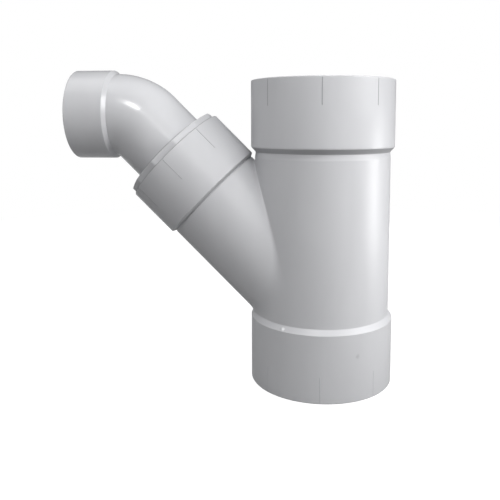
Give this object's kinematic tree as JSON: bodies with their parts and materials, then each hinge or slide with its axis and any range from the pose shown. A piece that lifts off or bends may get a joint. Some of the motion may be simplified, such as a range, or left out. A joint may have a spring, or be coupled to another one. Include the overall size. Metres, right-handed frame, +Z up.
{
  "type": "combination wye",
  "caption": "Large plastic drainage wye with a reducer bushing and a street eighth bend cemented in its branch, hubbed at every end.",
  "frame": {"origin": "centre of the lower mouth of the run, in the plane of its rim", "axes": "+Z up the run's axis, -X the way the bend's hub faces, so that the branch and the bend lie in the XZ plane"},
  "size_m": [0.6637, 0.295, 0.6466],
  "materials": {
    "wye_plastic": "moulded light grey rigid vinyl, soft satin sheen",
    "bushing_plastic": "moulded light grey rigid vinyl, soft satin sheen",
    "bend_plastic": "moulded light grey rigid vinyl, glossier than the wye"
  },
  "bodies": {
    "root": {"wye_body": "wye_plastic", "reducer_bushing": "bushing_plastic", "street_bend": "bend_plastic"}
  },
  "joints": []
}
